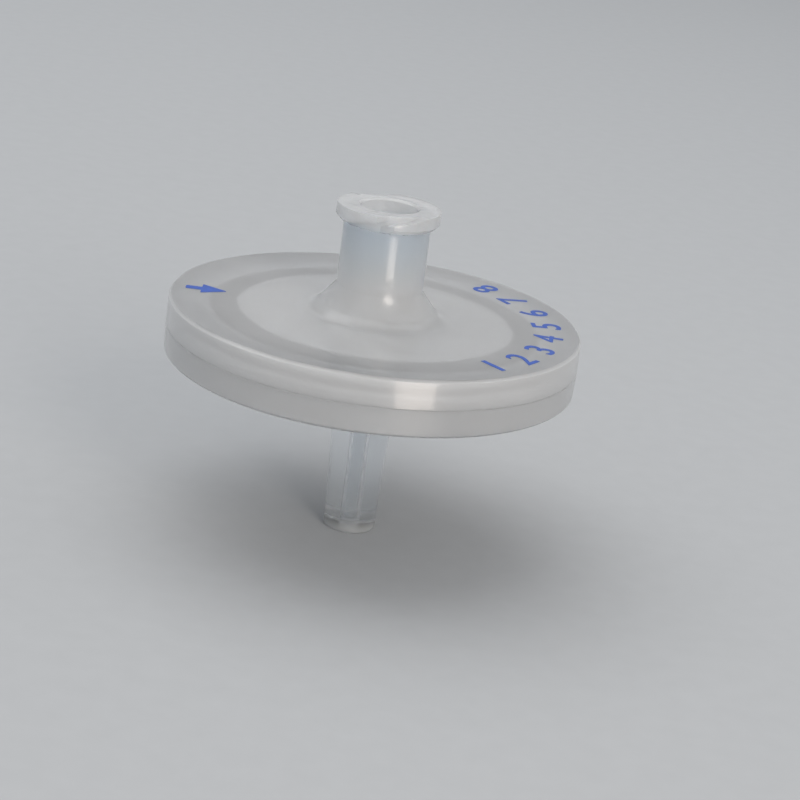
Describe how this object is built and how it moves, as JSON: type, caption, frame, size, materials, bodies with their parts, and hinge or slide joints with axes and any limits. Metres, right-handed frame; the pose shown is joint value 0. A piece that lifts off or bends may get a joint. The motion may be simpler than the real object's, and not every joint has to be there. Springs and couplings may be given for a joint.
{
  "type": "syringe filter",
  "caption": "Round disc filter housing welded from two translucent plastic shells, with a luer-lock inlet hub on top, a luer slip outlet nozzle below and a membrane sealed inside.",
  "frame": {"origin": "centre of the outlet nozzle's tip face, on which the filter stands", "axes": "+Z along the flow axis from the outlet tip to the inlet mouth; -Y faces the overlap of the two luer-lock lugs"},
  "size_m": [0.0312, 0.0312, 0.0256],
  "materials": {
    "housing_plastic": "moulded natural polypropylene, translucent, satin to glossy",
    "membrane": "white porous PTFE film on a fine polypropylene support, matt"
  },
  "bodies": {
    "root": {"inlet_housing": "housing_plastic", "membrane": "membrane", "outlet_housing": "housing_plastic"}
  },
  "joints": []
}
